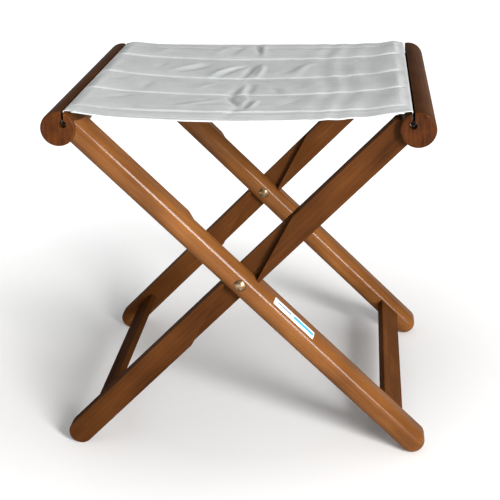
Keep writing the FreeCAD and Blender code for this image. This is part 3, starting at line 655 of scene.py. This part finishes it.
def build_sling():
    """The canvas as one sheet with folded hems, over the lips and round the two rods."""
    across, deep, simulated = simulate_sling()
    rows, drops = cloth_rows()
    panel = np.linspace(-PANEL_X, PANEL_X, PANEL_COLUMNS)
    blur = SIM_BLUR * (across[1] - across[0])
    simulated = spread(rows, deep, blur) @ simulated @ spread(panel, across, blur).T
    x, y = np.meshgrid(panel, rows)
    height = sag_line(x, y) + WRINKLE_BOOST * simulated + relief(x, y)
    slope = np.gradient(height, panel, axis=1)
    tilt = np.sqrt(1 + slope ** 2)
    drop = drops[:, None]
    panel_x = x - drop * slope / tilt
    panel_z = height + drop / tilt
    tail = side_path()
    count = len(rows)
    right_x = np.tile(tail[:, 0], (count, 1))
    right_z = np.tile(tail[:, 1], (count, 1))
    left_x, left_z = -right_x[:, ::-1], right_z[:, ::-1]
    all_x = np.concatenate([left_x, panel_x, right_x], axis=1)
    all_z = np.concatenate([left_z, panel_z, right_z], axis=1)
    all_y = np.tile(rows[:, None], (1, all_x.shape[1]))
    points = np.stack([all_x, all_y, all_z], axis=-1)

    # distances along the cut cloth, for the weave
    middle = count // 2
    run = np.linalg.norm(np.diff(points[middle], axis=0), axis=1)
    flat_x = np.concatenate([[0], np.cumsum(run)])
    fold = np.hypot(np.diff(rows), np.diff(drops))
    flat_y = np.concatenate([[0], np.cumsum(fold)])

    # the hems' hidden layer stops short of the tails, and the tails end with the rods
    columns = all_x.shape[1]
    tail_columns = len(tail)
    cells = []
    for r in range(count - 1):
        folded = drops[r] < 0 or drops[r + 1] < 0
        past_rod = abs(rows[r] + rows[r + 1]) / 2 > ROD_HALF_LENGTH
        for c in range(columns - 1):
            into_tail = max(tail_columns - c, c - (columns - 2 - tail_columns))
            if folded and into_tail > -HEM_TRIM:
                continue
            if past_rod and into_tail > PAST_ROD_CELLS:
                continue
            corner = r * columns + c
            cells.append((corner, corner + 1, corner + columns + 1, corner + columns))
    mesh = bpy.data.meshes.new("canvas_sling")
    mesh.from_pydata(points.reshape(-1, 3).tolist(), [], cells)
    layer = mesh.uv_layers.new(name="flat_cloth")
    corners = np.zeros(len(mesh.loops), np.int32)
    mesh.loops.foreach_get("vertex_index", corners)
    flat = np.stack([flat_x[corners % columns], flat_y[corners // columns]], axis=-1)
    layer.data.foreach_set("uv", flat.ravel())
    # painted shade and painted light: the cloth is darker where it lies below its surroundings
    # and lighter where it stands above them
    crease_shade = mesh.attributes.new("crease_shade", "FLOAT", "POINT")
    shown = drops == 0
    depth_below = np.zeros((count, columns))
    depth_below[np.ix_(shown, tail_columns + np.arange(len(panel)))] = hollows(
        rows[shown], panel, height[shown])
    crease_shade.data.foreach_set("value", depth_below.ravel())
    used = np.zeros(len(mesh.vertices), bool)
    used[corners] = True
    sling = bpy.data.objects.new("canvas_sling", mesh)
    bpy.context.scene.collection.objects.link(sling)
    remove_points(mesh, ~used)
    apply_solidify(sling, CLOTH_THICKNESS)
    sling.data.polygons.foreach_set("use_smooth", [True] * len(sling.data.polygons))
    size = (flat_x[-1], flat_y[-1])

    def surface_at(px, py):
        """Height of the canvas's top face at one place."""
        row = np.interp(py, rows_top, np.arange(len(rows_top)))
        column = np.interp(px, panel, np.arange(len(panel)))
        r, c = int(min(row, len(rows_top) - 2)), int(min(column, len(panel) - 2))
        fr, fc = row - r, column - c
        low = top[r, c] * (1 - fc) + top[r, c + 1] * fc
        high = top[r + 1, c] * (1 - fc) + top[r + 1, c + 1] * fc
        return low * (1 - fr) + high * fr + CLOTH_THICKNESS / 2

    rows_top, top = rows[shown], height[shown]
    return sling, size, surface_at


def remove_points(mesh, unwanted):
    """Delete the marked vertices and the faces that use them."""
    edit = bmesh.new()
    edit.from_mesh(mesh)
    edit.verts.ensure_lookup_table()
    loose = [edit.verts[index] for index in np.flatnonzero(unwanted)]
    bmesh.ops.delete(edit, geom=loose, context="VERTS")
    edit.to_mesh(mesh)
    edit.free()


def apply_solidify(piece, thickness):
    """Give a sheet its thickness, half to each side, as real faces."""
    solid = piece.modifiers.new("Solidify", "SOLIDIFY")
    solid.thickness = thickness
    solid.offset = 0.0
    solid.use_even_offset = True
    seen = piece.evaluated_get(bpy.context.evaluated_depsgraph_get())
    finished = bpy.data.meshes.new_from_object(seen)
    piece.modifiers.clear()
    spare = piece.data
    piece.data = finished
    bpy.data.meshes.remove(spare)


# ---------------------------------------------------------------- stitching

STITCH_PITCH = 3.4 * MM
STITCH_LENGTH = 2.5 * MM
STITCH_RADIUS = 0.28 * MM
STITCH_JITTER = 0.05
STITCH_SIDES = 6
# Rings of one stitch: place along it, width and lift, as shares of its length and radius.
STITCH_RINGS = [(-0.5, 0.35, -0.9), (-0.36, 0.9, 0.0), (0.0, 1.0, 0.25), (0.36, 0.9, 0.0),
                (0.5, 0.35, -0.9)]
LINE_END_GAP, SEAM_END_GAP = 1.5 * MM, 4 * MM
HEM_LINES = (1.2 * MM, HEM - 3.5 * MM)
TUCK_LINE = 5.2 * MM


def stitch_lines():
    """Start and end of each sewn line on the flat seat."""
    reach = PANEL_X - LINE_END_GAP
    across = [side * (HALF_DEPTH - HEM + shift) for side in (-1, 1) for shift in HEM_LINES]
    across += [tuck - TUCK_LINE for tuck in TUCKS]
    lines = [((-reach, y), (reach, y)) for y in across]
    seam = PANEL_X - SIDE_BAND
    far = HALF_DEPTH - SEAM_END_GAP
    lines += [((side * seam, -far), (side * seam, far)) for side in (-1, 1)]
    return lines


def build_stitches(surface_at):
    """Every stitch as a small capsule that dips into the cloth at both ends."""
    points, cells = [], []
    sides = STITCH_SIDES
    for start, end in stitch_lines():
        start, end = np.array(start), np.array(end)
        length = np.linalg.norm(end - start)
        run = (end - start) / length
        beside = np.array([-run[1], run[0]])
        for index in range(int(length / STITCH_PITCH)):
            place = index + 0.5 + rng.uniform(-STITCH_JITTER, STITCH_JITTER)
            middle = start + run * place * STITCH_PITCH
            base = len(points)
            for step, width, lift in STITCH_RINGS:
                spot = middle + run * step * STITCH_LENGTH
                level = surface_at(*spot) + lift * STITCH_RADIUS
                for side in range(sides):
                    angle = 2 * math.pi * side / sides
                    out = width * STITCH_RADIUS
                    x, y = spot + beside * out * math.cos(angle)
                    points.append((x, y, level + out * math.sin(angle)))
            for ring in range(len(STITCH_RINGS) - 1):
                for side in range(sides):
                    a = base + ring * sides + side
                    b = base + ring * sides + (side + 1) % sides
                    cells.append((a, b, b + sides, a + sides))
            cells.append(tuple(base + side for side in reversed(range(sides))))
            last = base + (len(STITCH_RINGS) - 1) * sides
            cells.append(tuple(last + side for side in range(sides)))
    mesh = bpy.data.meshes.new("canvas_stitching")
    mesh.from_pydata(points, [], cells)
    mesh.polygons.foreach_set("use_smooth", [True] * len(mesh.polygons))
    stitches = bpy.data.objects.new("canvas_stitching", mesh)
    bpy.context.scene.collection.objects.link(stitches)
    return stitches


# ---------------------------------------------------------------- put it together

# Piece: grain direction, place in the timber, tone and share of clear varnish.
WOOD_PIECES = {
    "left_frame_front_leg": (LEFT_LEG_GRAIN, (0.31, 0.034, 0.021), 0.46, 0.24),
    "left_frame_rear_leg": (LEFT_LEG_GRAIN, (1.47, 0.052, -0.018), 0.45, 0.22),
    # painted shade: the right-frame front leg is the same wood as the others, and its low tone
    # darkens it where it lies in shade under the seat
    "right_frame_front_leg": (RIGHT_LEG_GRAIN, (2.23, 0.047, 0.030), 0.12, 0.04),
    "right_frame_rear_leg": (RIGHT_LEG_GRAIN, (3.71, -0.041, 0.036), 0.26, 0.05),
    "left_rail": (RAIL_GRAIN, (4.13, 0.17, -0.41), 0.22, 0.10),
    "right_rail": (RAIL_GRAIN, (5.59, -0.21, -0.39), 0.12, 0.08),
    "left_frame_stretcher": (RAIL_GRAIN, (6.37, 0.05, 0.04), 0.24, 0.03),
    "right_frame_stretcher": (RAIL_GRAIN, (7.91, -0.06, 0.03), 0.12, 0.02),
    "left_rail_dowels": (LEFT_LEG_GRAIN, (8.3, 0.02, 0.01), 0.95, 0.00),
    "right_rail_dowels": (RIGHT_LEG_GRAIN, (9.1, 0.01, 0.03), 0.95, 0.00),
    "left_stretcher_dowels": (RAIL_GRAIN, (10.2, 0.03, 0.02), 0.95, 0.00),
    "right_stretcher_dowels": (RAIL_GRAIN, (11.4, 0.02, 0.04), 0.95, 0.00),
}


def paint(name, material):
    """Give a carried-over CAD piece its finish."""
    piece = NODES[name]
    if not piece.material_slots:
        piece.data.materials.append(material)
    for slot in piece.material_slots:
        slot.material = material


def paint_frame():
    """Finishes of every rigid piece."""
    for name, (turn, offset, tone, gloss) in WOOD_PIECES.items():
        paint(name, wood(f"varnish_{name}", turn, offset, tone, gloss))
    rod = dark_rod()
    for side in ("left", "right"):
        paint(f"{side}_seat_rod", rod)
    head, ring = brass("aged_brass", 0.0), brass("dull_brass", DULLER)
    for end in ("front", "rear"):
        paint(f"{end}_pivot_sleeve", head)
        paint(f"{end}_pivot_screw", head)
        paint(f"{end}_spacer_washer", ring)
    paint("label_sticker", sticker())


def dress_seat():
    """Canvas and stitching in place of the plain CAD sling, shared by the two frames."""
    sling, size, surface_at = build_sling()
    stitches = build_stitches(surface_at)
    sling.data.materials.append(canvas("canvas_weave", CANVAS_LIGHT, CANVAS_DARK))
    stitches.data.materials.append(thread())
    for piece in (sling, stitches):
        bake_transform(piece)
    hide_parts("seat_cloth")
    print("sling cut size", [round(side, 4) for side in size])


# ---------------------------------------------------------------- stage, light and camera

FLOOR_HALF = 9.0
FLOOR_TINTS = [(0.3, (0.83, 0.83, 0.83)), (0.7, (0.86, 0.86, 0.86))]
GLOW_FROM, GLOW_FULL, GLOW_STRENGTH = 0.20, 0.85, 0.75


def build_floor():
    """Pale floor that glows a little, more so farther out, like a lit paper backdrop."""
    mesh = bpy.data.meshes.new("floor")
    mesh.from_pydata([(x * FLOOR_HALF, y * FLOOR_HALF, 0)
                      for x, y in ((-1, -1), (1, -1), (1, 1), (-1, 1))], [], [(0, 1, 2, 3)])
    floor = bpy.data.objects.new("floor", mesh)
    bpy.context.scene.collection.objects.link(floor)
    material, tree, surface = new_material("pale_floor", Roughness=0.9,
                                           Specular_IOR_Level=0.1)
    place = add(tree, "TexCoord").outputs["Object"]
    tree.links.new(ramp(tree, noise(tree, place, 3.0), FLOOR_TINTS),
                   surface.inputs["Base Color"])
    away = add(tree, "VectorMath", {0: place}, operation="LENGTH").outputs["Value"]
    surface.inputs["Emission Color"].default_value = (1.0, 1.0, 1.0, 1.0)
    tree.links.new(fit(tree, away, GLOW_FROM, GLOW_FULL, 0.0, GLOW_STRENGTH),
                   surface.inputs["Emission Strength"])
    mesh.materials.append(material)


def soft_box(name, place, target, width, height, watts, colour):
    """A rectangular lamp that faces the target."""
    lamp = bpy.data.lights.new(name, "AREA")
    lamp.shape = "RECTANGLE"
    lamp.size, lamp.size_y = width, height
    lamp.energy = watts
    lamp.color = colour
    holder = bpy.data.objects.new(name, lamp)
    bpy.context.scene.collection.objects.link(holder)
    holder.location = place
    aim = Vector(target) - Vector(place)
    holder.rotation_euler = aim.to_track_quat("-Z", "Y").to_euler()


WINDOW_FROM = Vector((0.548, -0.782, 0.297))
WINDOW_AWAY = 2.9
WINDOW_WIDTH, WINDOW_HEIGHT, WINDOW_WATTS = 0.55, 1.50, 150.0
WINDOW_COLOUR = (1.0, 0.985, 0.97)
STOOL_MIDDLE = Vector((0.0, 0.0, 0.25))
# Brightness of the room by the height of the direction: horizon, above it, overhead.
ROOM_STOPS = [(0.10, (0.78, 0.78, 0.78)), (0.30, (0.12, 0.12, 0.12)),
              (0.95, (0.50, 0.50, 0.50))]


def light_scene():
    """Dim room, pale at the horizon and overhead, and one tall window in front on the right."""
    world = bpy.data.worlds.new("studio")
    bpy.context.scene.world = world
    world.use_nodes = True
    tree = world.node_tree
    back = tree.nodes["Background"]
    direction = add(tree, "TexCoord").outputs["Generated"]
    height = add(tree, "SeparateXYZ", {"Vector": direction}).outputs["Z"]
    tree.links.new(ramp(tree, height, ROOM_STOPS), back.inputs["Color"])
    soft_box("window", STOOL_MIDDLE + WINDOW_AWAY * WINDOW_FROM, STOOL_MIDDLE,
             WINDOW_WIDTH, WINDOW_HEIGHT, WINDOW_WATTS, WINDOW_COLOUR)
    bpy.context.scene.view_settings.view_transform = "Standard"


CAMERA_PLACE = Vector((0.1391, -1.4599, 0.7515))
CAMERA_YAW, CAMERA_PITCH, CAMERA_ROLL = 0.0993, 0.3655, -0.0222
CAMERA_LENS = 85.9
SENSOR_WIDTH = 36.0


def place_camera():
    """The photo's view: turned about Z, tipped down, then rolled about its own axis."""
    data = bpy.data.cameras.new("camera")
    data.sensor_width = SENSOR_WIDTH
    data.lens = CAMERA_LENS
    camera = bpy.data.objects.new("camera", data)
    bpy.context.scene.collection.objects.link(camera)
    turn = (Matrix.Rotation(CAMERA_YAW, 4, "Z")
            @ Matrix.Rotation(math.pi / 2 - CAMERA_PITCH, 4, "X")
            @ Matrix.Rotation(CAMERA_ROLL, 4, "Z"))
    camera.matrix_world = Matrix.Translation(CAMERA_PLACE) @ turn
    bpy.context.scene.camera = camera


paint_frame()
dress_seat()
build_floor()
light_scene()
place_camera()
